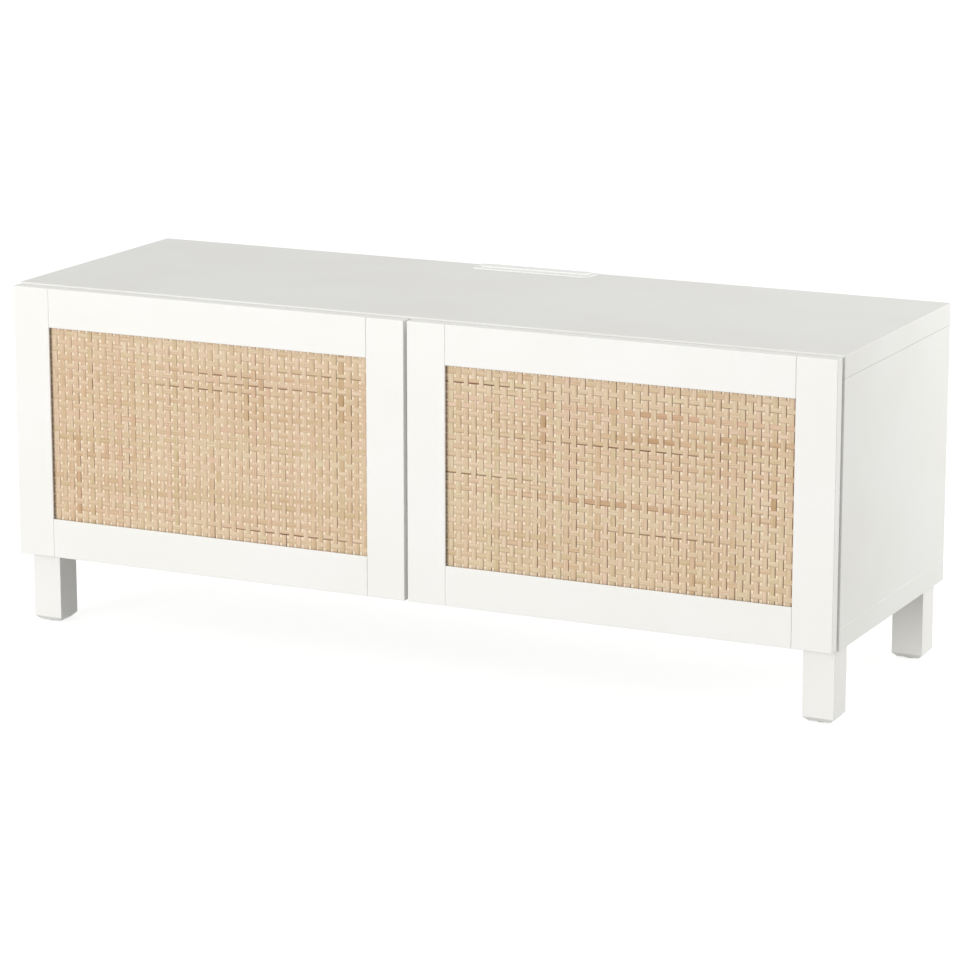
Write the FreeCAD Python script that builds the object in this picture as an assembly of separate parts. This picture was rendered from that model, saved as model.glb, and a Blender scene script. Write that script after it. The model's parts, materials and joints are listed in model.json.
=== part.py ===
import FreeCAD, Part
import os

from FreeCAD import Vector

# Two-door television stand on four legs, with woven door panels and a cable outlet in the top.
# Millimetres, X to the right, Y to the back, Z up. The origin is on the floor under the middle.

# Carcase
cabinet_width = 1200.0
cabinet_depth = 400.0
carcase_height = 380.0
slab_thickness = 30.0
side_thickness = 18.0
partition_thickness = 18.0
edge_round = 0.8
seam_width = 0.3
seam_depth = 2.0

# Back panels, set forward so that cables run down behind them
back_setback = 36.0
back_thickness = 3.0
back_groove_depth = 6.0
back_groove_clearance = 0.2
partition_tail = 9.0
cable_hole_length = 90.0
cable_hole_height = 45.0

# Shelves on pegs, with rows of spare peg holes
shelf_thickness = 15.0
shelf_height = 152.0
shelf_front_setback = 30.0
shelf_back_gap = 3.0
shelf_end_gap = 1.0
peg_radius = 2.5
peg_hole_depth = 10.0
peg_hole_clearance = 0.05
peg_inset = 55.0
peg_hole_pitch = 32.0
peg_holes_each_way = 2
peg_ledge = 8.0
peg_ledge_height = 4.0

# Legs
leg_height = 100.0
leg_size = 43.0
leg_side_inset = 7.0
leg_front_inset = 5.0
leg_rear_inset = 17.0
leg_foot_bevel = 6.0
leg_edge_round = 0.5
glide_thickness = 2.0
glide_radius = 11.0
glide_nail_radius = 1.5
glide_nail_length = 10.0
leg_bolt_radius = 4.0
leg_bolt_in_leg = 40.0
leg_bolt_in_slab = 20.0

# Knock-down joints between the slabs and the upright panels
dowel_radius = 4.0
dowel_length = 30.0
dowel_inset = 110.0
cam_inset = 60.0
cam_distance = 34.0
cam_radius = 7.5
cam_bolt_radius = 3.0
cam_head_radius = 3.5
cam_head_length = 4.0
cam_thread_length = 12.0
hole_clearance = 0.1

# Cable outlet in the rear edge of the top
outlet_width = 180.0
outlet_depth = 38.0
outlet_side_width = 8.0
outlet_front_width = 11.5
outlet_lip_rise = 1.2
outlet_lip_round = 0.9
outlet_lip_overlap = 3.5
outlet_rebate = 0.8
outlet_corner_radius = 9.0
outlet_skirt_drop = 18.0
outlet_skirt_gap = 0.3
outlet_skirt_wall = 2.5
flap_rise = 1.6
flap_thickness = 2.4
flap_round = 1.0
flap_front_gap = 2.6
flap_end_gap = 1.2
flap_slot = 5.0
flap_lug_radius = 1.6
flap_lug_length = 3.0
flap_lug_drop = 1.2
flap_stub_radius = 0.9
flap_stub_length = 2.5
flap_ledge_width = 3.0
flap_ledge_height = 2.0
flap_ledge_gap = 1.0
running_clearance = 0.05

# Doors
door_thickness = 17.0
door_gap = 3.0
reveal = 2.0
middle_gap = 5.0
stile_width = 55.0
rail_width = 54.0
panel_recess = 2.5
weave_thickness = 3.3
backing_thickness = 3.0
panel_groove_depth = 8.0
panel_groove_clearance = 0.1
panel_edge_gap = 0.5
hinge_edge_round = 1.0

# Single-pivot cup hinges
hinge_from_door_end = 80.0
cup_radius = 17.5
cup_from_edge = 3.0
cup_depth = 13.0
cup_wall = 1.0
cup_flange_thickness = 1.0
cup_flange_margin = 1.5
cup_screw_spacing = 45.0
cup_screw_offset = 9.5
cup_screw_length = 12.0
cup_wing_radius = 6.0
pin_from_edge = 7.0
pin_from_back = 9.5
pin_radius = 1.25
cheek_thickness = 2.4
cheek_reach = 4.0
hinge_side_gap = 0.3
arm_width = 8.0
arm_thickness = 2.5
arm_hub_radius = 2.1
arm_cover_wall = 1.5
arm_cover_depth = 8.0
plate_height = 8.5
plate_length = 60.0
plate_front_inset = 18.0
plate_width = 12.0
plate_wing_thickness = 2.5
plate_wing_length = 16.0
plate_wing_margin = 7.0
plate_screw_inset = 37.0
plate_screw_spacing = 32.0
plate_screw_length = 11.0
arm_screw_inset = 66.0
arm_screw_length = 8.0
screw_radius = 2.0
screw_head_radius = 3.4
screw_head_height = 1.3

# Push latches under the top, one for each door
latch_offset = 30.0
latch_width = 20.0
latch_height = 14.0
latch_length = 58.0
plunger_radius = 4.0
plunger_length = 36.0
plunger_travel = 3.0
plunger_stop_gap = 0.3
tip_radius = 5.5
tip_length = 3.0
strike_gap = 0.3
strike_thickness = 1.0
strike_width = 20.0
strike_height = 14.0
spring_wire_radius = 0.4
spring_radius = 2.6
spring_turns = 6
spring_room = 14.0
latch_tab_reach = 9.0
latch_tab_length = 12.0
latch_tab_thickness = 2.0
latch_tab_inset = 34.0
latch_screw_length = 12.0

# Planes that the pieces share
overall_depth = cabinet_depth + door_gap + door_thickness
front_y = overall_depth / 2 - cabinet_depth
rear_y = overall_depth / 2
door_back_y = front_y - door_gap
door_front_y = door_back_y - door_thickness
base_z = leg_height
floor_z = base_z + slab_thickness
top_z = base_z + carcase_height
ceiling_z = top_z - slab_thickness
lip_seat_z = top_z - outlet_rebate
outlet_front_y = rear_y - outlet_depth
side_x = cabinet_width / 2
inner_x = side_x - side_thickness
partition_x = partition_thickness / 2
side_middle_x = side_x - side_thickness / 2
back_rear_y = rear_y - back_setback
back_front_y = back_rear_y - back_thickness
shelf_z = floor_z + shelf_height
door_edge_x = side_x - reveal
door_inner_x = middle_gap / 2
door_low_z = base_z + reveal
door_high_z = top_z - reveal
open_low_x = door_inner_x + stile_width
open_high_x = door_edge_x - stile_width
open_low_z = door_low_z + rail_width
open_high_z = door_high_z - rail_width
weave_front_y = door_front_y + panel_recess
weave_back_y = weave_front_y + weave_thickness
backing_back_y = weave_back_y + backing_thickness
pin_x = door_edge_x - pin_from_edge
pin_y = door_back_y - pin_from_back
cup_x = door_edge_x - cup_from_edge - cup_radius
arm_outer_x = inner_x - plate_height
arm_inner_x = arm_outer_x - arm_thickness
hinge_heights = (door_low_z + hinge_from_door_end, door_high_z - hinge_from_door_end)
latch_z = ceiling_z - latch_height / 2
strike_y = door_back_y + strike_thickness
tip_front_y = strike_y + strike_gap
tip_back_y = tip_front_y + tip_length
latch_front_y = tip_back_y + plunger_travel + plunger_stop_gap
plunger_end_y = tip_back_y + plunger_length
spring_end_y = plunger_end_y + spring_room

X_AXIS = Vector(1, 0, 0)
Y_AXIS = Vector(0, 1, 0)
Z_AXIS = Vector(0, 0, 1)
ORIGIN = Vector(0, 0, 0)


def box(x, y, z):
    """Solid block between the low and high value of each axis."""
    return Part.makeBox(x[1] - x[0], y[1] - y[0], z[1] - z[0], Vector(x[0], y[0], z[0]))


def rod(start, axis, radius, length):
    """Solid cylinder from a start point along an axis."""
    return Part.makeCylinder(radius, length, start, axis)


def fused(pieces):
    """One solid from overlapping solids."""
    return pieces[0].fuse(pieces[1:]).removeSplitter()


def mirrored(shape):
    """The same piece on the other side of the middle plane."""
    return shape.mirror(ORIGIN, X_AXIS)


def both_sides(shapes):
    """The right-hand pieces followed by their left-hand copies."""
    return list(shapes) + [mirrored(shape) for shape in shapes]


def edges_in_plane(shape, axis, value):
    """Edges that lie wholly in the plane where one coordinate has the given value."""
    return [
        edge for edge in shape.Edges
        if all(abs(getattr(vertex.Point, axis) - value) < 1e-6 for vertex in edge.Vertexes)
    ]


def edges_along(shape, axis):
    """Straight edges parallel to an axis."""
    return [
        edge for edge in shape.Edges
        if abs(edge.tangentAt(edge.FirstParameter).dot(axis)) > 1 - 1e-6
    ]


def rounded_box(x, y, z):
    """Block with all its edges eased."""
    block = box(x, y, z)
    return block.makeFillet(edge_round, block.Edges)


def save(name, solids):
    """Writes one node, a single solid or a group of like solids."""
    shape = solids[0] if len(solids) == 1 else Part.makeCompound(solids)
    shape.exportStep(f"parts/{name}.step")


# Fastener places

def knock_down_places(inset):
    """Seam points between slabs and uprights, with the way from the upright into the slab."""
    places = []
    for x in (-side_middle_x, 0.0, side_middle_x):
        rear_limit = back_rear_y + partition_tail if x == 0.0 else rear_y
        for y in (front_y + inset, rear_limit - inset):
            places.append((Vector(x, y, ceiling_z), 1))
            places.append((Vector(x, y, floor_z), -1))
    return places


def dowels(clearance=0.0):
    """Wooden dowels across the seams, or their holes when given a clearance."""
    length = dowel_length + 2 * clearance
    return [
        rod(seam - Z_AXIS * (length / 2), Z_AXIS, dowel_radius + clearance, length)
        for seam, _ in knock_down_places(dowel_inset)
    ]


def cam_bolts(clearance=0.0):
    """Bolts screwed into the slabs, whose heads the cam discs pull on."""
    bolts = []
    for seam, way in knock_down_places(cam_inset):
        into_slab = Z_AXIS * way
        tip = seam - into_slab * (cam_distance + clearance)
        shank_length = cam_distance + cam_thread_length + 2 * clearance
        shank = rod(tip, into_slab, cam_bolt_radius + clearance, shank_length)
        head = rod(tip, into_slab, cam_head_radius + clearance, cam_head_length + 2 * clearance)
        bolts.append(fused([shank, head]))
    return bolts


def cam_discs(clearance=0.0):
    """Discs in the uprights, bored from the inner face."""
    discs = []
    for seam, way in knock_down_places(cam_inset):
        thickness = partition_thickness if seam.x == 0.0 else side_thickness
        toward_bay = -1 if seam.x > 0.0 else 1
        face = seam + X_AXIS * (toward_bay * thickness / 2) - Z_AXIS * (way * cam_distance)
        depth = thickness / 2 + cam_head_radius + clearance
        discs.append(rod(face, X_AXIS * -toward_bay, cam_radius + clearance, depth))
    return discs


def slotted_cam_discs():
    """Cam discs with the slot that takes the bolt's head."""
    slots = cam_bolts(hole_clearance)
    return [disc.cut(slots) for disc in cam_discs()]


def peg_rows():
    """Points at the upright's face where peg rows cross the shelf height, with the way into the bay."""
    shelf_front_y = front_y + shelf_front_setback
    shelf_rear_y = back_front_y - shelf_back_gap
    rows = []
    for y in (shelf_front_y + peg_inset, shelf_rear_y - peg_inset):
        rows.append((Vector(inner_x, y, shelf_z - peg_ledge_height / 2), -1))
        rows.append((Vector(partition_x, y, shelf_z - peg_ledge_height / 2), 1))
    return rows


def peg_hole_depth_at(point):
    """Blind depth of a peg hole, less in the partition, which is bored from both faces."""
    return min(peg_hole_depth, partition_x - 1) if point.x == partition_x else peg_hole_depth


def peg_holes():
    """Rows of peg holes above and below the shelf, for both bays."""
    holes = []
    for point, way in peg_rows():
        for step in range(-peg_holes_each_way, peg_holes_each_way + 1):
            mouth = point + Z_AXIS * (step * peg_hole_pitch)
            radius = peg_radius + peg_hole_clearance
            holes.append(rod(mouth, X_AXIS * -way, radius, peg_hole_depth_at(point)))
    return both_sides(holes)


def shelf_pins():
    """Pegs with a flat ledge under the shelf."""
    pins = []
    for point, way in peg_rows():
        peg_length = peg_hole_depth_at(point) - 1
        peg = rod(point, X_AXIS * -way, peg_radius, peg_length)
        tip_x = point.x + way * peg_ledge
        half = peg_ledge / 2
        ledge = box(
            sorted((point.x, tip_x)),
            (point.y - half, point.y + half),
            (shelf_z - peg_ledge_height, shelf_z),
        )
        pins.append(fused([peg, ledge]))
    return both_sides(pins)


# Legs

def leg_corners():
    """Low corner of each leg in plan, by name."""
    right = side_x - leg_side_inset - leg_size
    left = -side_x + leg_side_inset
    front = front_y + leg_front_inset
    rear = rear_y - leg_rear_inset - leg_size
    return {
        "front_left_leg": (left, front),
        "front_right_leg": (right, front),
        "rear_left_leg": (left, rear),
        "rear_right_leg": (right, rear),
    }


def leg_centres(z):
    """Middle of each leg at a height."""
    half = leg_size / 2
    return [Vector(x + half, y + half, z) for x, y in leg_corners().values()]


def leg_bolts(clearance=0.0):
    """Bolts from the legs up into the bottom slab."""
    length = leg_bolt_in_leg + leg_bolt_in_slab + 2 * clearance
    radius = leg_bolt_radius + clearance
    return [
        rod(centre, Z_AXIS, radius, length)
        for centre in leg_centres(base_z - leg_bolt_in_leg - clearance)
    ]


def foot_glides(clearance=0.0):
    """Thin round glides nailed under the legs."""
    glides = []
    for centre in leg_centres(0.0):
        pad = rod(centre, Z_AXIS, glide_radius, glide_thickness)
        nail_length = glide_thickness + glide_nail_length + clearance
        nail = rod(centre, Z_AXIS, glide_nail_radius + clearance, nail_length)
        glides.append(fused([pad, nail]))
    return glides


def leg(corner):
    """Square leg with a bevelled foot."""
    x, y = corner
    post = box((x, x + leg_size), (y, y + leg_size), (glide_thickness, base_z))
    post = post.makeChamfer(leg_foot_bevel, edges_in_plane(post, "z", glide_thickness))
    post = post.makeFillet(leg_edge_round, edges_along(post, Z_AXIS))
    return post.cut(leg_bolts(hole_clearance) + foot_glides(hole_clearance))


# Carcase panels

def panel_holes():
    """All fastener holes that the carcase panels share."""
    return (
        dowels(hole_clearance)
        + cam_bolts(hole_clearance)
        + cam_discs(hole_clearance)
        + leg_bolts(hole_clearance)
        + peg_holes()
        + both_sides(plate_screws(hole_clearance))
        + both_sides(latch_screws(hole_clearance))
    )


def back_panel_blank(margin, thickness_margin):
    """Right back panel's block, reaching into the grooves by a margin."""
    return box(
        (partition_x - margin, inner_x + margin),
        (back_front_y - thickness_margin, back_rear_y + thickness_margin),
        (floor_z - margin, ceiling_z + margin),
    )


def back_grooves():
    """Grooves that hold both back panels."""
    return both_sides([back_panel_blank(back_groove_depth, back_groove_clearance)])


def cable_hole(middle_z):
    """Cutter with round ends through the right back panel."""
    middle_x = (partition_x + inner_x) / 2
    half = (cable_hole_length - cable_hole_height) / 2
    radius = cable_hole_height / 2
    straight = box(
        (middle_x - half, middle_x + half),
        (back_front_y, back_rear_y),
        (middle_z - radius, middle_z + radius),
    )
    ends = [
        rod(Vector(x, back_front_y, middle_z), Y_AXIS, radius, back_thickness)
        for x in (middle_x - half, middle_x + half)
    ]
    return fused([straight] + ends)


def back_panel():
    """Right back panel with a cable hole above the shelf and one below it."""
    panel = back_panel_blank(back_groove_depth - panel_edge_gap, 0.0)
    hole_heights = ((floor_z + shelf_z) / 2, (shelf_z + shelf_thickness + ceiling_z) / 2)
    return panel.cut([cable_hole(z) for z in hole_heights])


def slab(low_z):
    """Top or bottom panel before its holes."""
    return rounded_box((-side_x, side_x), (front_y, rear_y), (low_z, low_z + slab_thickness))


def outlet_plan(inset, rise):
    """Rear-open block of the outlet, set in from its outline, with two round front corners."""
    half = outlet_width / 2 - inset
    block = box((-half, half), (outlet_front_y + inset, rear_y), rise)
    corners = [edge for edge in edges_along(block, Z_AXIS) if edge.Vertexes[0].Y < rear_y]
    return block.makeFillet(outlet_corner_radius - inset, corners)


def top_panel():
    """Top slab with the notch for the cable outlet and a rebate for its lip."""
    notch = outlet_plan(outlet_lip_overlap, (ceiling_z, top_z))
    rebate = outlet_plan(-hole_clearance, (lip_seat_z, top_z))
    return slab(ceiling_z).cut(panel_holes() + back_grooves() + [notch, rebate])


def bottom_panel():
    """Bottom slab, which the legs carry."""
    return slab(base_z).cut(panel_holes() + back_grooves())


def side_panel():
    """Right side panel between the slabs, with a shadow line under the top."""
    panel = box((inner_x, side_x), (front_y, rear_y), (floor_z, ceiling_z))
    inner_edges = [edge for edge in edges_along(panel, Z_AXIS) if edge.Vertexes[0].X < side_x]
    panel = panel.makeFillet(edge_round, edges_in_plane(panel, "x", side_x) + inner_edges)
    seam = box((side_x - seam_depth, side_x), (front_y, rear_y), (ceiling_z - seam_width, ceiling_z))
    return panel.cut(panel_holes() + back_grooves() + [seam])


def center_partition():
    """Upright between the bays, which stops short of the rear so that cables can cross."""
    rear = back_rear_y + partition_tail
    panel = box((-partition_x, partition_x), (front_y, rear), (floor_z, ceiling_z))
    return panel.cut(panel_holes() + back_grooves())


def shelf():
    """Right adjustable shelf."""
    return rounded_box(
        (partition_x + shelf_end_gap, inner_x - shelf_end_gap),
        (front_y + shelf_front_setback, back_front_y - shelf_back_gap),
        (shelf_z, shelf_z + shelf_thickness),
    )


# Cable outlet

mouth_x = outlet_width / 2 - outlet_side_width
lip_top_z = top_z + outlet_lip_rise
skirt_low_z = top_z - outlet_skirt_drop
flap_top_z = lip_top_z + flap_rise
flap_low_z = flap_top_z - flap_thickness
flap_front_y = outlet_front_y + outlet_front_width + flap_front_gap
flap_rear_y = rear_y - flap_slot
flap_end_x = mouth_x - flap_end_gap
flap_axis_y = flap_front_y + flap_lug_radius
flap_axis_z = flap_low_z - flap_lug_drop


def outlet_mouth(front_inset, rise):
    """Block of the opening between the frame's sides, set back from the outlet's front."""
    return box((-mouth_x, mouth_x), (outlet_front_y + front_inset, rear_y), rise)


def flap_stubs(clearance=0.0):
    """Pivot stubs on the flap's lugs, which turn in the frame's sides."""
    stubs = []
    for way in (-1, 1):
        start = Vector(way * (flap_end_x - flap_lug_length), flap_axis_y, flap_axis_z)
        length = flap_lug_length + flap_end_gap + flap_stub_length + clearance
        stubs.append(rod(start, X_AXIS * way, flap_stub_radius + clearance, length))
    return stubs


def flap_lug():
    """Right-hand lug under the flap, round about the pivot."""
    x = (flap_end_x - flap_lug_length, flap_end_x)
    neck = box(x, (flap_front_y, flap_front_y + 2 * flap_lug_radius), (flap_axis_z, flap_low_z))
    eye = rod(Vector(x[0], flap_axis_y, flap_axis_z), X_AXIS, flap_lug_radius, flap_lug_length)
    return fused([neck, eye])


def cable_frame():
    """Moulded trim round three sides of the outlet, with ledges that the flap rests on."""
    lip = outlet_plan(0.0, (lip_seat_z, lip_top_z))
    rim = edges_in_plane(lip, "z", lip_top_z)
    lip = lip.makeFillet(outlet_lip_round, [edge for edge in rim if edge.CenterOfMass.y < rear_y])
    skirt_inset = outlet_lip_overlap + outlet_skirt_gap
    skirt = outlet_plan(skirt_inset, (skirt_low_z, lip_seat_z))
    mouth = outlet_mouth(outlet_front_width, (skirt_low_z, lip_top_z))
    hollow = outlet_mouth(skirt_inset + outlet_skirt_wall, (skirt_low_z, lip_seat_z))
    ring = fused([lip, skirt]).cut([mouth, hollow])
    ledge = box(
        (mouth_x - flap_ledge_width, mouth_x),
        (flap_axis_y + flap_lug_radius + flap_ledge_gap, flap_rear_y),
        (flap_low_z - flap_ledge_height, flap_low_z),
    )
    return fused([ring] + both_sides([ledge])).cut(flap_stubs(running_clearance))


def cable_flap():
    """Lid of the outlet, proud of the frame, with a slot left behind it for cables."""
    plate = box((-flap_end_x, flap_end_x), (flap_front_y, flap_rear_y), (flap_low_z, flap_top_z))
    plate = plate.makeFillet(flap_round, edges_in_plane(plate, "z", flap_top_z))
    return fused([plate] + both_sides([flap_lug()]) + flap_stubs())


# Doors, made for the right-hand side

def panel_groove(x, z):
    """Cutter for the groove that holds the woven panel and its backing."""
    depth = (weave_front_y - panel_groove_clearance, backing_back_y + panel_groove_clearance)
    return box(x, depth, z)


def hinge_stile():
    """Outer upright of the door, bored for the hinge cups."""
    stile = box((open_high_x, door_edge_x), (door_front_y, door_back_y), (door_low_z, door_high_z))
    swing_edge = [
        edge for edge in edges_in_plane(stile, "x", door_edge_x)
        if all(abs(vertex.Y - door_back_y) < 1e-6 for vertex in edge.Vertexes)
    ]
    stile = stile.makeFillet(hinge_edge_round, swing_edge)
    stile = stile.makeFillet(edge_round, edges_in_plane(stile, "y", door_front_y))
    groove = panel_groove((open_high_x - 1, open_high_x + panel_groove_depth), (door_low_z, door_high_z))
    bores = [
        rod(Vector(cup_x, door_back_y, z), -Y_AXIS, cup_radius + hole_clearance, cup_depth + hole_clearance)
        for z in hinge_heights
    ]
    return stile.cut([groove] + bores + cup_screws(hole_clearance))


def latch_stile():
    """Inner upright of the door, at the meeting line."""
    stile = box((door_inner_x, open_low_x), (door_front_y, door_back_y), (door_low_z, door_high_z))
    stile = stile.makeFillet(edge_round, edges_in_plane(stile, "y", door_front_y))
    groove = panel_groove((open_low_x - panel_groove_depth, open_low_x + 1), (door_low_z, door_high_z))
    return stile.cut([groove])


def rail(low_z, high_z, groove_z):
    """Cross piece with tongues in the stiles' grooves, and a shadow line where it meets each stile."""
    body = box((open_low_x, open_high_x), (door_front_y, door_back_y), (low_z, high_z))
    body = body.makeFillet(edge_round, edges_in_plane(body, "y", door_front_y))
    reach = panel_groove_depth - panel_edge_gap
    span = (open_low_x - reach, open_high_x + reach)
    tongue = box(span, (weave_front_y, backing_back_y), (low_z, high_z))
    groove = panel_groove(span, groove_z)
    seam_y = (door_front_y, door_front_y + seam_depth)
    seams = [
        box(x, seam_y, (low_z, high_z))
        for x in ((open_low_x, open_low_x + seam_width), (open_high_x - seam_width, open_high_x))
    ]
    return fused([body, tongue]).cut([groove] + seams)


def top_rail():
    """Upper cross piece."""
    return rail(open_high_z, door_high_z, (open_high_z - 1, open_high_z + panel_groove_depth))


def bottom_rail():
    """Lower cross piece."""
    return rail(door_low_z, open_low_z, (open_low_z - panel_groove_depth, open_low_z + 1))


def door_sheet(near_y, far_y):
    """Sheet that fills the door's opening and its grooves."""
    reach = panel_groove_depth - panel_edge_gap
    return box(
        (open_low_x - reach, open_high_x + reach),
        (near_y, far_y),
        (open_low_z - reach, open_high_z + reach),
    )


def woven_panel():
    """Woven sheet, plain here."""
    return door_sheet(weave_front_y, weave_back_y)


def backing_panel():
    """Sheet behind the weave."""
    return door_sheet(weave_back_y, backing_back_y)


# Hinges, made for the right-hand side

cheek_low = arm_width / 2 + hinge_side_gap
cheek_high = cheek_low + cheek_thickness


def hinge_pin(z, clearance=0.0):
    """Pin through the cup's cheeks and the arm's eye."""
    start = Vector(pin_x, pin_y, z - cheek_high)
    return rod(start, Z_AXIS, pin_radius + clearance, 2 * cheek_high)


def hinge_cup(z):
    """Cup in the door with a screwed flange and two cheeks that hold the pin."""
    mouth = Vector(cup_x, door_back_y, z)
    shell = rod(mouth, -Y_AXIS, cup_radius, cup_depth)
    hollow_radius = cup_radius - cup_wall
    hollow = rod(mouth, -Y_AXIS, hollow_radius, cup_depth - cup_wall)
    ring = rod(mouth, Y_AXIS, cup_radius + cup_flange_margin, cup_flange_thickness)
    screw_x = cup_x - cup_screw_offset
    wing_depth = (door_back_y, door_back_y + cup_flange_thickness)
    half_spacing = cup_screw_spacing / 2
    wing = [
        box(
            (screw_x - cup_wing_radius, screw_x + cup_wing_radius),
            wing_depth,
            (z - half_spacing, z + half_spacing),
        )
    ]
    for way in (-1, 1):
        end = Vector(screw_x, door_back_y, z + way * half_spacing)
        wing.append(rod(end, Y_AXIS, cup_wing_radius, cup_flange_thickness))
    far_x = cup_x + cup_radius + cup_flange_margin + 1
    trimmed_side = box(
        (pin_x + arm_hub_radius, far_x), wing_depth, (z - cup_radius * 2, z + cup_radius * 2)
    )
    flange_mouth = rod(mouth, Y_AXIS, hollow_radius, cup_flange_thickness)
    flange = fused([ring] + wing).cut([trimmed_side, flange_mouth])
    cheeks = []
    for low in (z + cheek_low, z - cheek_high):
        cheek = box(
            (pin_x - cheek_reach, cup_x + cup_radius),
            (door_back_y - cup_depth, pin_y + cheek_reach / 2),
            (low, low + cheek_thickness),
        )
        cheeks.append(cheek.common(shell))
    cup = fused([shell.cut([hollow]), flange] + cheeks)
    return cup.cut(cup_screws(hole_clearance) + [hinge_pin(z, running_clearance)])


def cup_screws(clearance=0.0):
    """Screws that hold the cups' flanges to the door."""
    seat_y = door_back_y + cup_flange_thickness
    screws = []
    for z in hinge_heights:
        for way in (-1, 1):
            seat = Vector(cup_x - cup_screw_offset, seat_y, z + way * cup_screw_spacing / 2)
            shank = rod(seat, -Y_AXIS, screw_radius + clearance, cup_screw_length + clearance)
            head = rod(seat, Y_AXIS, screw_head_radius, screw_head_height)
            screws.append(fused([shank, head]))
    return screws


def hinge_arm(z):
    """Cranked arm from the pin into the cabinet, with a cover over the mounting plate."""
    half = arm_width / 2
    height = (z - half, z + half)
    root_y = pin_y - arm_hub_radius
    cover_front_y = front_y + plate_front_inset
    cover_rear_y = cover_front_y + plate_length
    eye = rod(Vector(pin_x, pin_y, z - half), Z_AXIS, arm_hub_radius, arm_width)
    crank = box((arm_inner_x, pin_x), (root_y, root_y + arm_thickness), height)
    tail = box((arm_inner_x, arm_outer_x), (root_y, cover_rear_y), height)
    cover_half = plate_width / 2 + hinge_side_gap + arm_cover_wall
    cover_x = (arm_inner_x, arm_inner_x + arm_cover_depth)
    cover = box(cover_x, (cover_front_y, cover_rear_y), (z - cover_half, z + cover_half))
    plate_half = cover_half - arm_cover_wall
    hollow = box(
        (arm_outer_x, cover_x[1]), (cover_front_y, cover_rear_y), (z - plate_half, z + plate_half)
    )
    arm = fused([eye, crank, tail, cover.cut([hollow])])
    return arm.cut([hinge_pin(z, running_clearance)] + arm_screws(hole_clearance))


def hinge_plate(z):
    """Mounting plate on the side panel, under the arm."""
    front = front_y + plate_front_inset
    body_half = plate_width / 2
    body = box((arm_outer_x, inner_x), (front, front + plate_length), (z - body_half, z + body_half))
    wing_y = front_y + plate_screw_inset
    wing_half = plate_screw_spacing / 2 + plate_wing_margin
    wing = box(
        (inner_x - plate_wing_thickness, inner_x),
        (wing_y - plate_wing_length / 2, wing_y + plate_wing_length / 2),
        (z - wing_half, z + wing_half),
    )
    return fused([body, wing]).cut(plate_screws(hole_clearance) + arm_screws(hole_clearance))


def plate_screws(clearance=0.0):
    """Screws through the plates' wings into the side panel."""
    seat_x = inner_x - plate_wing_thickness
    screws = []
    for z in hinge_heights:
        for way in (-1, 1):
            seat = Vector(seat_x, front_y + plate_screw_inset, z + way * plate_screw_spacing / 2)
            length = plate_wing_thickness + plate_screw_length + clearance
            shank = rod(seat, X_AXIS, screw_radius + clearance, length)
            head = rod(seat, -X_AXIS, screw_head_radius, screw_head_height)
            screws.append(fused([shank, head]))
    return screws


def arm_screws(clearance=0.0):
    """Screws that clamp the arms on the plates."""
    screws = []
    for z in hinge_heights:
        seat = Vector(arm_inner_x, front_y + arm_screw_inset, z)
        shank = rod(seat, X_AXIS, screw_radius + clearance, arm_screw_length + clearance)
        head = rod(seat, -X_AXIS, screw_head_radius, screw_head_height)
        screws.append(fused([shank, head]))
    return screws


# Push latches, made for the right-hand side

def latch_housing():
    """Latch body under the top, bored for the plunger, with a screwed tab on each side."""
    half = latch_width / 2
    body = box(
        (latch_offset - half, latch_offset + half),
        (latch_front_y, latch_front_y + latch_length),
        (ceiling_z - latch_height, ceiling_z),
    )
    tab_front_y = latch_front_y + latch_tab_inset
    tab = box(
        (latch_offset - half - latch_tab_reach, latch_offset + half + latch_tab_reach),
        (tab_front_y, tab_front_y + latch_tab_length),
        (ceiling_z - latch_tab_thickness, ceiling_z),
    )
    bore = rod(
        Vector(latch_offset, latch_front_y, latch_z),
        Y_AXIS,
        plunger_radius + running_clearance,
        spring_end_y - latch_front_y,
    )
    return fused([body, tab]).cut([bore] + latch_screws(hole_clearance))


def latch_screws(clearance=0.0):
    """Screws through the latches' tabs into the top."""
    y = latch_front_y + latch_tab_inset + latch_tab_length / 2
    reach = latch_width / 2 + latch_tab_reach / 2
    screws = []
    for x in (latch_offset - reach, latch_offset + reach):
        seat = Vector(x, y, ceiling_z - latch_tab_thickness)
        shank = rod(seat, Z_AXIS, screw_radius + clearance, latch_screw_length + clearance)
        head = rod(seat, -Z_AXIS, screw_head_radius, screw_head_height)
        screws.append(fused([shank, head]))
    return screws


def latch_plunger():
    """Sliding rod with a wider magnetic tip."""
    tip = rod(Vector(latch_offset, tip_front_y, latch_z), Y_AXIS, tip_radius, tip_length)
    shaft = rod(Vector(latch_offset, tip_back_y, latch_z), Y_AXIS, plunger_radius, plunger_length)
    return fused([tip, shaft])


def latch_spring():
    """Compression spring between the plunger and the end of its bore."""
    height = spring_room - 2 * spring_wire_radius
    spine = Part.makeHelix(height / spring_turns, height, spring_radius)
    ring = Part.makeCircle(spring_wire_radius, Vector(spring_radius, 0, 0), Y_AXIS)
    coil = Part.Wire(spine).makePipeShell([Part.Wire(ring)], True, True)
    coil.rotate(ORIGIN, X_AXIS, -90)
    coil.translate(Vector(latch_offset, plunger_end_y + spring_wire_radius, latch_z))
    return coil


def strike_plate():
    """Steel plate on the door that the latch's tip holds."""
    half_width = strike_width / 2
    half_height = strike_height / 2
    return box(
        (latch_offset - half_width, latch_offset + half_width),
        (door_back_y, strike_y),
        (latch_z - half_height, latch_z + half_height),
    )


# Nodes

def save_pair(name, shapes):
    """Writes a right-hand node and its left-hand twin."""
    save(f"right_{name}", shapes)
    save(f"left_{name}", [mirrored(shape) for shape in shapes])


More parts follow.
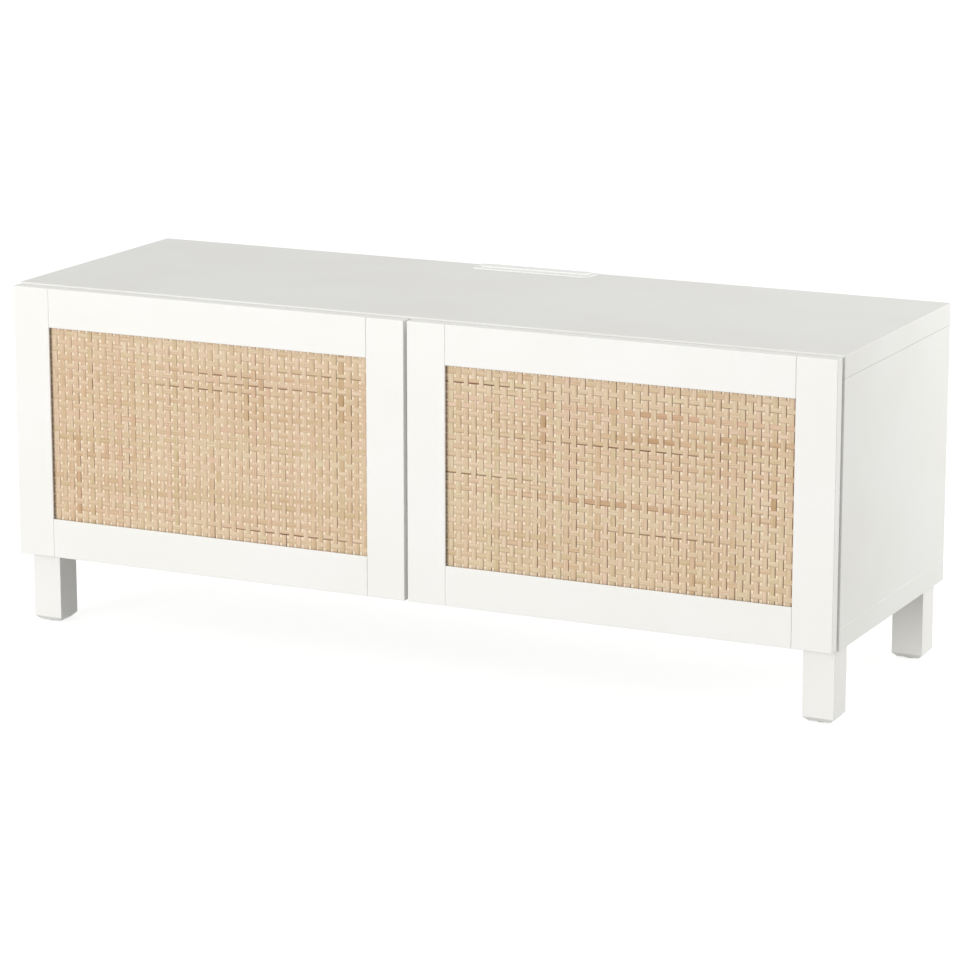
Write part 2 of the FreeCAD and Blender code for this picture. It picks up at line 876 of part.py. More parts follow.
def save_carcase():
    """Panels, shelves, legs and the fasteners that hold them."""
    save("top_panel", [top_panel()])
    save("bottom_panel", [bottom_panel()])
    save_pair("side_panel", [side_panel()])
    save("center_partition", [center_partition()])
    save_pair("back_panel", [back_panel()])
    save_pair("shelf", [shelf()])
    save("shelf_pins", shelf_pins())
    for name, corner in leg_corners().items():
        save(name, [leg(corner)])
    save("leg_bolts", leg_bolts())
    save("foot_glides", foot_glides())
    save("dowels", dowels())
    save("cam_bolts", cam_bolts())
    save("cam_discs", slotted_cam_discs())
    save("cable_frame", [cable_frame()])
    save("cable_flap", [cable_flap()])


def save_doors():
    """Door frames, their panels and strike plates."""
    save_pair("hinge_stile", [hinge_stile()])
    save_pair("latch_stile", [latch_stile()])
    save_pair("top_rail", [top_rail()])
    save_pair("bottom_rail", [bottom_rail()])
    save_pair("woven_panel", [woven_panel()])
    save_pair("backing_panel", [backing_panel()])
    save_pair("strike_plate", [strike_plate()])


def save_hinges():
    """Cup hinges, two to a door."""
    for level, z in zip(("lower", "upper"), hinge_heights):
        save_pair(f"{level}_hinge_cup", [hinge_cup(z)])
        save_pair(f"{level}_hinge_arm", [hinge_arm(z)])
    save_pair("hinge_plates", [hinge_plate(z) for z in hinge_heights])
    save_pair("hinge_pins", [hinge_pin(z) for z in hinge_heights])
    save_pair("cup_screws", cup_screws())
    save("plate_screws", both_sides(plate_screws()))
    save("arm_screws", both_sides(arm_screws()))


def save_latches():
    """Push latches, one to a door."""
    save_pair("latch_housing", [latch_housing()])
    save_pair("latch_plunger", [latch_plunger()])
    save_pair("latch_spring", [latch_spring()])
    save("latch_screws", both_sides(latch_screws()))


os.makedirs("parts", exist_ok=True)
save_carcase()
save_doors()
save_hinges()
save_latches()
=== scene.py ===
import json
import math
import random

import bpy
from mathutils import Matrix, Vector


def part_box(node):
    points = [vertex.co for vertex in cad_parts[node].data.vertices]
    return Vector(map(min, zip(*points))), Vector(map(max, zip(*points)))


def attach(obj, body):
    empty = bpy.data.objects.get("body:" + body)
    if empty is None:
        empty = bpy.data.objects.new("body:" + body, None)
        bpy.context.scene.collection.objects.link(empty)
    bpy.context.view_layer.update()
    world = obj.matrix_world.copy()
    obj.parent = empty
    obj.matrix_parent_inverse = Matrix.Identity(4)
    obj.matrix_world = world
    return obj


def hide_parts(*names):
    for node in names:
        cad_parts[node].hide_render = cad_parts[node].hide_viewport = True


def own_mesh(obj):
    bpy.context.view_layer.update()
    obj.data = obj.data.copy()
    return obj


# Looks of a two-door television stand: white boards and legs, and door panels woven from wood strips.
# Metres, X to the right, Y to the back, Z up. The origin is on the floor under the middle.

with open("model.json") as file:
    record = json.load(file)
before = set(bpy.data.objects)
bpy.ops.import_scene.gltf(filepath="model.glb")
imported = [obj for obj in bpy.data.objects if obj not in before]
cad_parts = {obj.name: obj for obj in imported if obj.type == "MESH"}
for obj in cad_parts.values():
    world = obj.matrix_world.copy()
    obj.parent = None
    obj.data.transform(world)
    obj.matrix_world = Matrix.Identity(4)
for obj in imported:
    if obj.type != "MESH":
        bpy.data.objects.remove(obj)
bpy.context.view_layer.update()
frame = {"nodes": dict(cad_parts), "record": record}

MM = 0.001

# Angle between faces under which a new piece is shaded smooth
SMOOTH_ANGLE = math.radians(40)

# Strips of the woven door panels
WEAVE_PITCH = 11.0 * MM
UPRIGHT_WIDTH = 7.9 * MM
CROSS_WIDTH = 7.1 * MM
STRIP_THICKNESS = 0.15 * MM
STRIP_SWING = 0.17 * MM
STRIP_CROWN = 0.05 * MM
BACKING_GAP = 0.05 * MM
WIDTH_SPREAD = 0.08
PLACE_SPREAD = 0.35 * MM
LEAN_SPREAD = math.radians(0.10)

# Tints of the strips: spreads from strip to strip and along one strip, and how many strips carry a mark and
# how strong it is. A mark reaches over a few of the lengths that show between two crossings.
HUE_MIDDLE = 0.5
HUE_SPREAD = 0.14
HUE_DRIFT = 0.09
TONE_DRIFT = 0.06
# Darkness of the strips' edges: partly the browner cut edge, partly a painted shadow line along the edge.
EDGE_SHADOW_STRENGTH = (0.5, 1.0)
EDGE_SHADOW_DRIFT = 0.08
CROSS_EDGE_SHADOW = 0.4
DARK_EDGE_SHADOW_SHARE = 0.3
DARK_EDGE_SHADOW_STRENGTH = (0.5, 1.0)
UPRIGHT_BROWN_SHARE = 0.14
CROSS_BROWN_SHARE = 0.24
BROWN_STRENGTH = (0.25, 0.55)
BARK_SHARE = 0.1
BARK_STRENGTH = (0.6, 1.0)
MARK_REACH = (1.5, 6.0)

# Reach of the door frames' grooves past the sheets that they hold, on X, Y and Z
GROOVE_MARGIN = (0.6 * MM, 0.15 * MM, 0.6 * MM)

# Printed side of the back boards
PRINT_DEPTH = 0.2 * MM

# Latch springs
SPRING_WIRE = 0.4 * MM
SPRING_TURNS = 6
STEPS_PER_TURN = 24
WIRE_SIDES = 12

# Photograph's camera
CAMERA_PLACE = (2.2202, -4.6042, 1.4096)
CAMERA_YAW = math.radians(25.67)
CAMERA_PITCH = math.radians(13.08)
CAMERA_LENS = 144.63
SENSOR_WIDTH = 36.0
CLIP_END = 100.0

# Studio
FLOOR_SIZE = 40.0
FLOOR_GLOW = 0.78
ROOM_LEVEL = 0.605
AIM = (0.0, 0.0, 0.25)


def linear(hex_colour):
    """Linear colour of an sRGB hex value, with full alpha."""
    parts = [int(hex_colour[at:at + 2], 16) / 255 for at in (1, 3, 5)]
    return [part / 12.92 if part <= 0.04045 else ((part + 0.055) / 1.055) ** 2.4 for part in parts] + [1.0]


def add_node(owner, kind, inputs=(), feeds=None, stops=(), **settings):
    """Add a node with its settings. An input takes a value, a socket or a node, and one socket may be fed."""
    tree = owner.node_tree
    node = tree.nodes.new(kind)
    for option, value in settings.items():
        setattr(node, option, value)
    for key, value in dict(inputs).items():
        if isinstance(value, bpy.types.Node):
            value = next(socket for socket in value.outputs if socket.enabled)
        if isinstance(value, bpy.types.NodeSocket):
            tree.links.new(value, node.inputs[key])
        else:
            node.inputs[key].default_value = value
    for index, (place, colour) in enumerate(stops):
        elements = node.color_ramp.elements
        element = elements[index] if index < 2 else elements.new(place)
        element.position = place
        element.color = linear(colour)
    if feeds is not None:
        tree.links.new(next(socket for socket in node.outputs if socket.enabled), feeds)
    return node


def plain_finish(name, colour, roughness, metallic=0.0):
    """A new material and its shader, set to the plain values of the finish."""
    material = bpy.data.materials.new(name)
    material.use_nodes = True
    shader = material.node_tree.nodes["Principled BSDF"]
    shader.inputs["Base Color"].default_value = linear(colour)
    shader.inputs["Roughness"].default_value = roughness
    shader.inputs["Metallic"].default_value = metallic
    return material, shader


# Finishes

def white_foil_board():
    # Chipboard with a pressed paper foil: a matt warm white, with a fine pebble from the press plate.
    material, shader = plain_finish("white_foil_board", "#F7F6F2", 0.62)
    coords = add_node(material, "ShaderNodeTexCoord").outputs["Object"]
    pebble = add_node(material, "ShaderNodeTexNoise",
                      {"Vector": coords, "Scale": 1 / (1.4 * MM), "Detail": 2.0})
    add_node(material, "ShaderNodeBump", {"Height": pebble, "Strength": 0.06, "Distance": 0.05 * MM},
             feeds=shader.inputs["Normal"])
    cloud = add_node(material, "ShaderNodeTexNoise",
                     {"Vector": coords, "Scale": 1 / (180 * MM), "Detail": 3.0})
    add_node(material, "ShaderNodeValToRGB", {"Fac": cloud}, feeds=shader.inputs["Base Color"],
             stops=[(0.35, "#F6F5F0"), (0.65, "#F8F8F4")])
    add_node(material, "ShaderNodeMapRange", {"Value": pebble, "To Min": 0.58, "To Max": 0.66},
             feeds=shader.inputs["Roughness"])
    return material


def bare_groove_and_shade(material, coords):
    """Mask of the grooves that hold the woven panels, painted dark brown as bare board and as painted shade
    in the slot.
    """
    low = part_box("right_woven_panel")[0]
    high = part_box("right_backing_panel")[1]
    place = add_node(material, "ShaderNodeSeparateXYZ", {"Vector": coords}).outputs
    outward = add_node(material, "ShaderNodeMath", {0: place["X"]}, operation="ABSOLUTE")
    inside = 1.0
    for axis, value in enumerate((outward, place["Y"], place["Z"])):
        reach = (high[axis] - low[axis]) / 2 + GROOVE_MARGIN[axis]
        within = add_node(material, "ShaderNodeMath", {0: value, 1: (low[axis] + high[axis]) / 2, 2: reach},
                          operation="COMPARE")
        inside = add_node(material, "ShaderNodeMath", {0: inside, 1: within}, operation="MULTIPLY")
    return inside


def white_lacquered_wood():
    # Sprayed satin lacquer on sanded fibreboard: smoother than the foil, with a slow orange peel. The panel
    # grooves are painted dark brown: bare board, and painted shade in the narrow slot.
    material, shader = plain_finish("white_lacquered_wood", "#F9F8F4", 0.34)
    coords = add_node(material, "ShaderNodeTexCoord").outputs["Object"]
    peel = add_node(material, "ShaderNodeTexNoise",
                    {"Vector": coords, "Scale": 1 / (3.5 * MM), "Detail": 1.0})
    add_node(material, "ShaderNodeBump", {"Height": peel, "Strength": 0.05, "Distance": 0.05 * MM},
             feeds=shader.inputs["Normal"])
    cloud = add_node(material, "ShaderNodeTexNoise",
                     {"Vector": coords, "Scale": 1 / (140 * MM), "Detail": 3.0})
    lacquer = add_node(material, "ShaderNodeValToRGB", {"Fac": cloud},
                       stops=[(0.35, "#F8F7F2"), (0.65, "#FAF9F6")])
    # Dark brown in the grooves: bare board, and painted shade in the slot.
    add_node(material, "ShaderNodeMix", {0: bare_groove_and_shade(material, coords), 6: lacquer, 7: linear("#6F5133")},
             data_type="RGBA", feeds=shader.inputs["Base Color"])
    add_node(material, "ShaderNodeMapRange", {"Value": peel, "To Min": 0.31, "To Max": 0.37},
             feeds=shader.inputs["Roughness"])
    return material


def woven_wood_strip():
    # Peeled poplar strips: pale and silky along the grain, each length its own tint, with browner cut edges
    # that also carry a painted shadow line. A few cross strips keep a line of bark along their lower edge.
    material, shader = plain_finish("woven_wood_strip", "#E9D2B2", 0.55)
    hue = add_node(material, "ShaderNodeAttribute", attribute_name="hue").outputs["Fac"]
    tone = add_node(material, "ShaderNodeAttribute", attribute_name="tone").outputs["Fac"]
    cut_and_shadow = add_node(material, "ShaderNodeAttribute", attribute_name="cut_edge_and_shadow").outputs["Fac"]
    bark = add_node(material, "ShaderNodeAttribute", attribute_name="bark").outputs["Fac"]
    tint = add_node(material, "ShaderNodeValToRGB", {"Fac": hue}, stops=[
        (0.0, "#ECD0B9"), (1.0, "#E5D7B4"), (0.5, "#E9D4B7")])
    depth = add_node(material, "ShaderNodeValToRGB", {"Fac": tone}, stops=[
        (0.0, "#CAAC88"), (1.0, "#FFFFFF"), (0.5, "#F1E8DC")])
    toned = add_node(material, "ShaderNodeMix", {0: 1.0, 6: tint, 7: depth}, data_type="RGBA",
                     blend_type="MULTIPLY")
    along = add_node(material, "ShaderNodeTexCoord").outputs["UV"]
    stretch = add_node(material, "ShaderNodeMapping", {"Vector": along, "Scale": (9.0, 7.0, 1.0)})
    grain = add_node(material, "ShaderNodeTexNoise", {"Vector": stretch, "W": hue, "Scale": 1.0,
                                                      "Detail": 2.0}, noise_dimensions="4D")
    streak = add_node(material, "ShaderNodeValToRGB", {"Fac": grain},
                      stops=[(0.35, "#E8DCCB"), (0.62, "#FFFFFF")])
    streaked = add_node(material, "ShaderNodeMix", {0: 1.0, 6: toned, 7: streak}, data_type="RGBA",
                        blend_type="MULTIPLY")
    across = add_node(material, "ShaderNodeSeparateXYZ", {"Vector": along}).outputs["Y"]
    # Painted shadow line, partly the browner cut edge: dark along the V=0 edge (right edge of an upright,
    # lower edge of a cross), with a fainter painted shadow along the other edge.
    edge = add_node(material, "ShaderNodeValToRGB", {"Fac": across}, stops=[
        (0.0, "#603200"), (1.0, "#DCC3A2"), (0.09, "#744206"), (0.15, "#FFFFFF"), (0.92, "#FFFFFF")])
    edged = add_node(material, "ShaderNodeMix", {0: cut_and_shadow, 6: streaked, 7: edge}, data_type="RGBA",
                     blend_type="MULTIPLY")
    line = add_node(material, "ShaderNodeValToRGB", {"Fac": across}, stops=[
        (0.0, "#7A4400"), (0.32, "#FFFFFF"), (0.2, "#8E5A14")])
    add_node(material, "ShaderNodeMix", {0: bark, 6: edged, 7: line}, data_type="RGBA",
             blend_type="MULTIPLY", feeds=shader.inputs["Base Color"])
    add_node(material, "ShaderNodeBump", {"Height": grain, "Strength": 0.3, "Distance": 0.06 * MM},
             feeds=shader.inputs["Normal"])
    return material


def backing_card():
    # Cream-faced hardboard behind the weave: matt and bright, so that the gaps show as pale dots.
    material, shader = plain_finish("backing_card", "#FFECD1", 0.8)
    coords = add_node(material, "ShaderNodeTexCoord").outputs["Object"]
    fibre = add_node(material, "ShaderNodeTexNoise",
                     {"Vector": coords, "Scale": 1 / (2.5 * MM), "Detail": 3.0})
    add_node(material, "ShaderNodeValToRGB", {"Fac": fibre}, feeds=shader.inputs["Base Color"],
             stops=[(0.3, "#FFE9CB"), (0.7, "#FFEFD7")])
    add_node(material, "ShaderNodeBump", {"Height": fibre, "Strength": 0.1, "Distance": 0.05 * MM},
             feeds=shader.inputs["Normal"])
    return material


def back_hardboard():
    # Pressed wood fibre, printed white inside and left bare at the rear and at its cut edges. The mesh of the
    # press screen shows at the rear.
    material, shader = plain_finish("back_hardboard", "#F1F0EC", 0.62)
    coords = add_node(material, "ShaderNodeTexCoord").outputs["Object"]
    depth = add_node(material, "ShaderNodeSeparateXYZ", {"Vector": coords}).outputs["Y"]
    print_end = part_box("left_back_panel")[0].y + PRINT_DEPTH
    rear = add_node(material, "ShaderNodeMath", {0: depth, 1: print_end}, operation="GREATER_THAN")
    fibre = add_node(material, "ShaderNodeTexNoise",
                     {"Vector": coords, "Scale": 1 / (1.6 * MM), "Detail": 4.0})
    bare = add_node(material, "ShaderNodeValToRGB", {"Fac": fibre},
                    stops=[(0.3, "#95704A"), (0.55, "#A27C55"), (0.75, "#AE8860")])
    add_node(material, "ShaderNodeMix", {0: rear, 6: linear("#F1F0EC"), 7: bare}, data_type="RGBA",
             feeds=shader.inputs["Base Color"])
    mesh = add_node(material, "ShaderNodeTexChecker",
                    {"Vector": coords, "Scale": 1 / (1.5 * MM)}).outputs["Fac"]
    screen = add_node(material, "ShaderNodeMath", {0: mesh, 1: rear}, operation="MULTIPLY")
    add_node(material, "ShaderNodeBump", {"Height": screen, "Strength": 0.35, "Distance": 0.1 * MM},
             feeds=shader.inputs["Normal"])
    return material


def white_plastic():
    # Moulded ABS: slightly cooler than the boards, with the fine spark texture of its mould.
    material, shader = plain_finish("white_plastic", "#FDFDFA", 0.4)
    coords = add_node(material, "ShaderNodeTexCoord").outputs["Object"]
    spark = add_node(material, "ShaderNodeTexNoise",
                     {"Vector": coords, "Scale": 1 / (0.6 * MM), "Detail": 2.0})
    add_node(material, "ShaderNodeBump", {"Height": spark, "Strength": 0.08, "Distance": 0.03 * MM},
             feeds=shader.inputs["Normal"])
    add_node(material, "ShaderNodeMapRange", {"Value": spark, "To Min": 0.36, "To Max": 0.44},
             feeds=shader.inputs["Roughness"])
    return material


def grey_plastic():
    # Moulded polyethylene: a dull grey that scuffs paler.
    material, shader = plain_finish("grey_plastic", "#8F9092", 0.5)
    coords = add_node(material, "ShaderNodeTexCoord").outputs["Object"]
    scuff = add_node(material, "ShaderNodeTexNoise",
                     {"Vector": coords, "Scale": 1 / (1.2 * MM), "Detail": 4.0})
    add_node(material, "ShaderNodeValToRGB", {"Fac": scuff}, feeds=shader.inputs["Base Color"],
             stops=[(0.4, "#88898B"), (0.7, "#9A9B9C")])
    add_node(material, "ShaderNodeBump", {"Height": scuff, "Strength": 0.15, "Distance": 0.04 * MM},
             feeds=shader.inputs["Normal"])
    return material


def plated_steel(name, low, high, roughness, grit):
    """A plated metal whose finish is a soft mottle of two close colours."""
    material, shader = plain_finish(name, low, roughness, metallic=1.0)
    coords = add_node(material, "ShaderNodeTexCoord").outputs["Object"]
    mottle = add_node(material, "ShaderNodeTexNoise", {"Vector": coords, "Scale": 1 / grit, "Detail": 3.0})
    add_node(material, "ShaderNodeValToRGB", {"Fac": mottle}, feeds=shader.inputs["Base Color"],
             stops=[(0.35, low), (0.65, high)])
    add_node(material, "ShaderNodeMapRange", {"Value": mottle, "To Min": roughness - 0.06,
                                              "To Max": roughness + 0.06}, feeds=shader.inputs["Roughness"])
    return material


def beech_dowel():
    # Turned raw beech: pinkish tan with short dark flecks along the rod.
    material, shader = plain_finish("beech_dowel", "#C9A074", 0.65)
    coords = add_node(material, "ShaderNodeTexCoord").outputs["Object"]
    stretch = add_node(material, "ShaderNodeMapping", {"Vector": coords, "Scale": (1.0, 1.0, 0.15)})
    fleck = add_node(material, "ShaderNodeTexNoise",
                     {"Vector": stretch, "Scale": 1 / (0.8 * MM), "Detail": 3.0})
    add_node(material, "ShaderNodeValToRGB", {"Fac": fleck}, feeds=shader.inputs["Base Color"],
             stops=[(0.35, "#A97D52"), (0.6, "#D0A97F")])
    add_node(material, "ShaderNodeBump", {"Height": fleck, "Strength": 0.2, "Distance": 0.05 * MM},
             feeds=shader.inputs["Normal"])
    return material


finishes = {
    "white_foil_board": white_foil_board(),
    "white_lacquered_wood": white_lacquered_wood(),
    "woven_wood_strip": woven_wood_strip(),
    "backing_card": backing_card(),
    "back_hardboard": back_hardboard(),
    "white_plastic": white_plastic(),
    "grey_plastic": grey_plastic(),
    # Nickel plate: warm and fairly bright. Zinc plate: bluish and cloudy. Drawn wire: darker, drawn smooth.
    "nickel_steel": plated_steel("nickel_steel", "#BDB8AE", "#CBC7BE", 0.24, 6 * MM),
    "zinc_steel": plated_steel("zinc_steel", "#AEB3B8", "#C2C6CA", 0.36, 2.5 * MM),
    "spring_steel": plated_steel("spring_steel", "#8B8C8E", "#9B9C9E", 0.28, 3 * MM),
    "beech_dowel": beech_dowel(),
}

for subpart in frame["record"]["subparts"]:
    node = frame["nodes"][subpart["node"]]
    node.data.materials.clear()
    node.data.materials.append(finishes[subpart["material_slot"]])


# Woven panels

def clear_selection():
    """Leave nothing selected, so that the next operator acts on the new piece alone."""
    if bpy.context.object and bpy.context.object.mode != "OBJECT":
        bpy.ops.object.mode_set(mode="OBJECT")
    bpy.ops.object.select_all(action="DESELECT")


def select_vertices(piece, wanted):
    """In edit mode, select the vertices whose place the test accepts."""
    bpy.ops.object.mode_set(mode="EDIT")
    bpy.ops.mesh.select_mode(type="VERT")
    bpy.ops.mesh.select_all(action="DESELECT")
    bpy.ops.object.mode_set(mode="OBJECT")
    for vertex in piece.data.vertices:
        vertex.select = wanted(vertex.co)
    bpy.ops.object.mode_set(mode="EDIT")


def apply_modifier(piece, kind, **settings):
    """Add a modifier, set it and apply it."""
    modifier = piece.modifiers.new(kind.title(), kind)
    for option, value in settings.items():
        setattr(modifier, option, value)
    bpy.ops.object.modifier_apply(modifier=modifier.name)


def crossing_place(x, crossings):
    """Place along a strip, counted in crossings from the middle of its first one."""
    return x / WEAVE_PITCH + (crossings - 1) / 2


def model_strip(crossings, width, first):
    """One strip along X at the origin, over every second crossing from the given one and under the rest.

    Each crossing has two rows of vertices, a half pitch apart.
    """
    clear_selection()
    bpy.ops.mesh.primitive_grid_add(x_subdivisions=2 * crossings - 1, y_subdivisions=1, size=1.0,
                                    rotation=(math.pi / 2, 0, 0))
    strip = bpy.context.object
    bpy.ops.object.transform_apply(location=True, rotation=True, scale=True)
    length = (crossings - 0.5) * WEAVE_PITCH
    bpy.ops.object.mode_set(mode="EDIT")
    bpy.ops.transform.resize(value=(length, 1.0, width))
    bpy.ops.transform.translate(value=(0, STRIP_SWING, 0))
    select_vertices(strip, lambda place: math.floor(crossing_place(place.x, crossings) + 0.5) % 2 == first)
    bpy.ops.transform.translate(value=(0, -2 * STRIP_SWING, 0))
    bpy.ops.object.mode_set(mode="OBJECT")
    apply_modifier(strip, "SUBSURF", levels=1, render_levels=1, boundary_smooth="PRESERVE_CORNERS")
    select_vertices(strip, lambda place: abs(place.z) < width / 8)
    bpy.ops.transform.translate(value=(0, -STRIP_CROWN, 0))
    bpy.ops.object.mode_set(mode="OBJECT")
    apply_modifier(strip, "SOLIDIFY", thickness=STRIP_THICKNESS, offset=0.0)
    bpy.ops.object.shade_smooth_by_angle(angle=SMOOTH_ANGLE)
    strip.data.materials.append(finishes["woven_wood_strip"])
    return strip


def stretch_of(crossings, dice):
    """Share of a passing mark at each visible length of a strip, around one place along it."""
    middle = dice.uniform(0, crossings / 2)
    reach = dice.uniform(*MARK_REACH)
    return [math.exp(-((run - middle) / reach) ** 2) for run in range(crossings // 2 + 2)]


def tint_strip(strip, crossings, first, tones, edge_shadow_level, brown_share, bark_share, dice):
    """Give each visible length of a strip its hue, its tone, the darkness of its cut edge and painted edge
    shadow, and its bark.
    """
    hue = dice.gauss(HUE_MIDDLE, HUE_SPREAD)
    tone = dice.uniform(*tones)
    cut_edge_and_shadow = dice.uniform(*EDGE_SHADOW_STRENGTH) * edge_shadow_level
    brown = dice.uniform(*BROWN_STRENGTH) * (dice.random() < brown_share)
    dark_edge_shadow = dice.uniform(*DARK_EDGE_SHADOW_STRENGTH) * (dice.random() < DARK_EDGE_SHADOW_SHARE) * edge_shadow_level
    bark = dice.uniform(*BARK_STRENGTH) * (dice.random() < bark_share)
    browns = stretch_of(crossings, dice)
    dark_edge_shadows = stretch_of(crossings, dice)
    barks = stretch_of(crossings, dice)
    values = {
        "hue": [hue + dice.gauss(0, HUE_DRIFT) for _ in browns],
        "tone": [tone + dice.gauss(0, TONE_DRIFT) - brown * share for share in browns],
        "cut_edge_and_shadow": [cut_edge_and_shadow + dice.gauss(0, EDGE_SHADOW_DRIFT) + dark_edge_shadow * share for share in dark_edge_shadows],
        "bark": [bark * share for share in barks],
    }
    runs = [
        math.floor((crossing_place(face.center.x, crossings) + 1 - first) / 2) + 1
        for face in strip.data.polygons
    ]
    for name, shades in values.items():
        attribute = strip.data.attributes.new(name, "FLOAT", "FACE")
        attribute.data.foreach_set("value", [min(max(shades[run], 0.0), 1.0) for run in runs])


def weave_strips(master, crossings, places, turn, middle, tones, edge_shadow_levels, dice):
    """Copies of a pair of strips, laid side by side at the given places, each a little uneven."""
    copies = []
    for number, place in places:
        first = number % 2
        edge_shadow_level = edge_shadow_levels[0] + (edge_shadow_levels[1] - edge_shadow_levels[0]) * number / len(places)
        brown_share = UPRIGHT_BROWN_SHARE if turn else CROSS_BROWN_SHARE
        bark_share = 0.0 if turn else BARK_SHARE
        clear_selection()
        master[first].select_set(True)
        bpy.context.view_layer.objects.active = master[first]
        bpy.ops.object.duplicate(linked=False)
        strip = bpy.context.object
        tint_strip(strip, crossings, first, tones, edge_shadow_level, brown_share, bark_share, dice)
        strip.location = middle
        strip.location[0 if turn else 2] += place + dice.uniform(-PLACE_SPREAD, PLACE_SPREAD)
        strip.rotation_euler[1] = dice.uniform(-LEAN_SPREAD, LEAN_SPREAD) - (math.pi / 2 if turn else 0)
        strip.scale[2] = 1 + dice.uniform(-WIDTH_SPREAD, WIDTH_SPREAD)
        copies.append(strip)
    return copies


def woven_panel(side, tones, edge_shadow_levels, seed):
    """Upright and cross strips in plain weave, in the place of the door's woven sheet.

    The tones are the darkest and the palest strip's. The edge shadow levels say how dark the cut edges and
    their painted shadow lines are, from the left or lowest strip to the right or top one.
    """
    node = side + "_woven_panel"
    low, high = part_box(node)
    middle = (low + high) / 2
    middle.y = high.y - BACKING_GAP - STRIP_SWING - STRIP_THICKNESS / 2
    columns = math.ceil((high.x - low.x) / WEAVE_PITCH)
    rows = math.ceil((high.z - low.z) / WEAVE_PITCH)
    dice = random.Random(seed)
    uprights = [model_strip(rows, UPRIGHT_WIDTH, first) for first in (0, 1)]
    crosses = [model_strip(columns, CROSS_WIDTH, first) for first in (0, 1)]
    upright_places = [(i, (i - (columns - 1) / 2) * WEAVE_PITCH) for i in range(1, columns - 1)]
    cross_places = [(k + 1, (k - (rows - 1) / 2) * WEAVE_PITCH) for k in range(1, rows - 1)]
    cross_shadow_levels = [CROSS_EDGE_SHADOW * level for level in edge_shadow_levels]
    strips = weave_strips(uprights, rows, upright_places, True, middle, tones, edge_shadow_levels, dice)
    strips += weave_strips(crosses, columns, cross_places, False, middle, tones, cross_shadow_levels, dice)
    for master in uprights + crosses:
        bpy.data.objects.remove(master)
    clear_selection()
    for strip in strips:
        strip.select_set(True)
    bpy.context.view_layer.objects.active = strips[0]
    bpy.ops.object.transform_apply(location=True, rotation=True, scale=True)
    bpy.ops.object.join()
    panel = bpy.context.object
    panel.name = side + "_woven_strips"
    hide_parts(node)
    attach(panel, side + "_door")


# The right door's edge shadow levels rise to the right: painted shade, darker where the lamp's light rakes.
woven_panel("left", tones=(0.58, 0.99), edge_shadow_levels=(0.52, 0.54), seed=11)
woven_panel("right", tones=(0.66, 1.08), edge_shadow_levels=(0.7, 1.3), seed=23)


# Latch springs

def latch_coil(side):
    """The coil of a push latch's spring, at its rest length and fixed to the carcase."""
    node = side + "_latch_spring"
    low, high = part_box(node)
    middle = (low + high) / 2
    length = high.y - low.y
    clear_selection()
    bpy.ops.mesh.primitive_circle_add(vertices=WIRE_SIDES, radius=SPRING_WIRE, rotation=(math.pi / 2, 0, 0),
                                      location=((high.x - low.x) / 2 - SPRING_WIRE, 0, 0))
    coil = bpy.context.object
    bpy.ops.object.transform_apply(location=True, rotation=True, scale=True)
    apply_modifier(coil, "SCREW", axis="Z", angle=2 * math.pi * SPRING_TURNS,
                   screw_offset=length - 2 * SPRING_WIRE, steps=SPRING_TURNS * STEPS_PER_TURN,
                   render_steps=SPRING_TURNS * STEPS_PER_TURN)
    bpy.ops.object.mode_set(mode="EDIT")
    bpy.ops.mesh.select_all(action="SELECT")
    bpy.ops.mesh.fill_holes(sides=WIRE_SIDES)
    bpy.ops.mesh.select_all(action="SELECT")
    bpy.ops.mesh.normals_make_consistent(inside=False)
    bpy.ops.object.mode_set(mode="OBJECT")
    coil.rotation_euler = (-math.pi / 2, 0, 0)
    coil.location = (middle.x, low.y + SPRING_WIRE, middle.z)
    bpy.ops.object.transform_apply(location=True, rotation=True, scale=True)
    bpy.ops.object.shade_smooth_by_angle(angle=SMOOTH_ANGLE)
    coil.name = side + "_latch_coil"
    coil.data.materials.append(finishes["spring_steel"])
    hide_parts(node)
    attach(coil, "carcase")
    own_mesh(coil)


for door_side in ("left", "right"):
    latch_coil(door_side)


# Studio

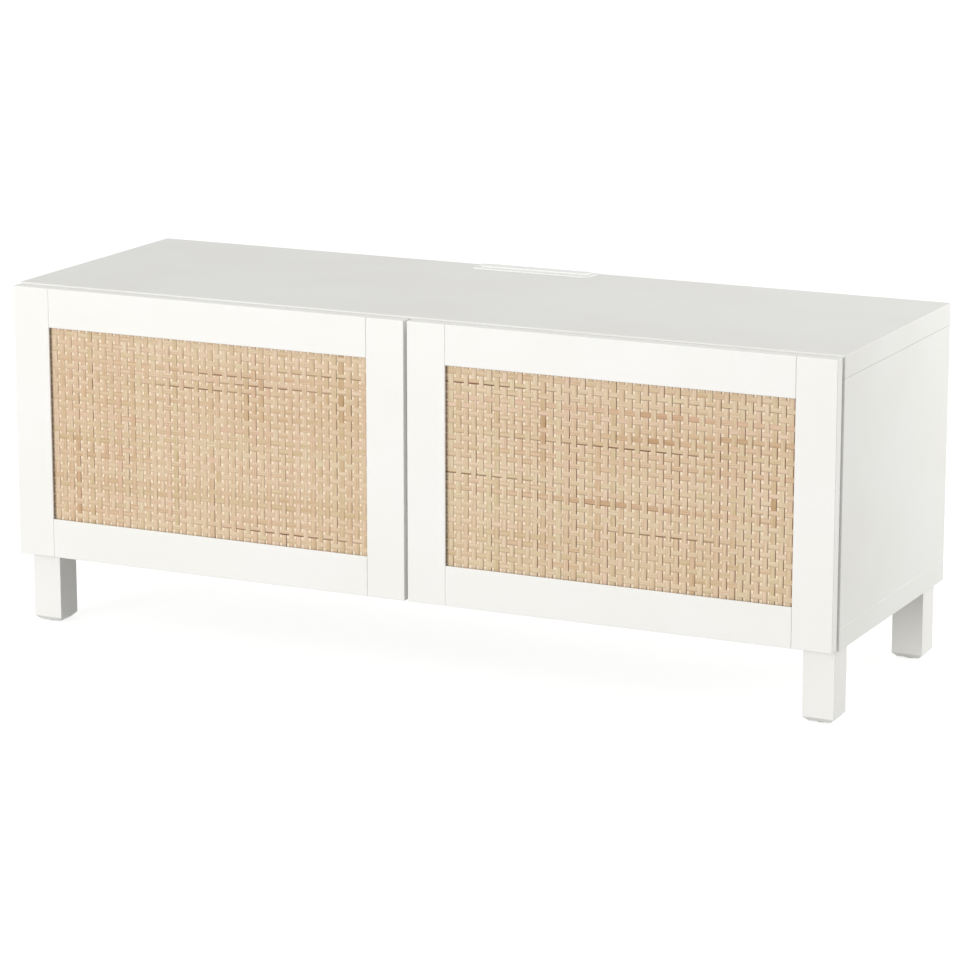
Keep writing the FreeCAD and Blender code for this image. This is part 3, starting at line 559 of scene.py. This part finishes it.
def soft_lamp(name, azimuth, elevation, distance, size, level):
    """A square lamp that looks at the part. At level 1 a white face turned to it renders white."""
    turn = math.radians(azimuth)
    lift = math.radians(elevation)
    clear_selection()
    bpy.ops.object.light_add(type="AREA", location=(
        AIM[0] + distance * math.sin(turn) * math.cos(lift),
        AIM[1] - distance * math.cos(turn) * math.cos(lift),
        AIM[2] + distance * math.sin(lift),
    ), rotation=(math.pi / 2 - lift, 0, turn))
    lamp = bpy.context.object
    lamp.name = name
    lamp.data.size = size
    lamp.data.energy = level * (math.pi * distance) ** 2
    lamp.visible_camera = False


def seen_directly(owner):
    """1 for a ray that shows the studio itself, to the eye or in a gloss, and 0 for one that only lights."""
    rays = add_node(owner, "ShaderNodeLightPath").outputs
    seen = rays["Is Camera Ray"]
    for kind in ("Is Glossy Ray", "Is Transmission Ray"):
        seen = add_node(owner, "ShaderNodeMath", {0: seen, 1: rays[kind]}, operation="MAXIMUM")
    return seen


soft_lamp("front_lamp", azimuth=-21, elevation=8, distance=8.0, size=3.5, level=0.55)
soft_lamp("side_lamp", azimuth=135, elevation=15, distance=2.6, size=1.2, level=0.395)

world = bpy.data.worlds.new("studio")
world.use_nodes = True
world.node_tree.nodes.clear()
room = add_node(world, "ShaderNodeBackground", {"Color": linear("#FFFFFF"), "Strength": ROOM_LEVEL})
paper = add_node(world, "ShaderNodeBackground", {"Color": linear("#FFFFFF"), "Strength": 1.0})
sky = add_node(world, "ShaderNodeMixShader", {0: seen_directly(world), 1: room, 2: paper})
add_node(world, "ShaderNodeOutputWorld", {"Surface": sky})
bpy.context.scene.world = world

clear_selection()
bpy.ops.mesh.primitive_plane_add(size=FLOOR_SIZE, location=(0, 0, 0))
floor = bpy.context.object
floor.name = "floor"
white_paper, paper_shader = plain_finish("white_paper", "#B6B6B4", 0.9)
add_node(white_paper, "ShaderNodeMath", {0: seen_directly(white_paper), 1: FLOOR_GLOW}, operation="MULTIPLY",
         feeds=paper_shader.inputs["Emission Strength"])
paper_shader.inputs["Emission Color"].default_value = linear("#FFFFFF")
floor.data.materials.append(white_paper)

clear_selection()
bpy.ops.object.camera_add(location=CAMERA_PLACE, rotation=(math.pi / 2 - CAMERA_PITCH, 0, CAMERA_YAW))
camera = bpy.context.object
camera.data.sensor_fit = "HORIZONTAL"
camera.data.sensor_width = SENSOR_WIDTH
camera.data.lens = CAMERA_LENS
camera.data.clip_end = CLIP_END
bpy.context.scene.camera = camera
bpy.context.scene.view_settings.view_transform = "Standard"
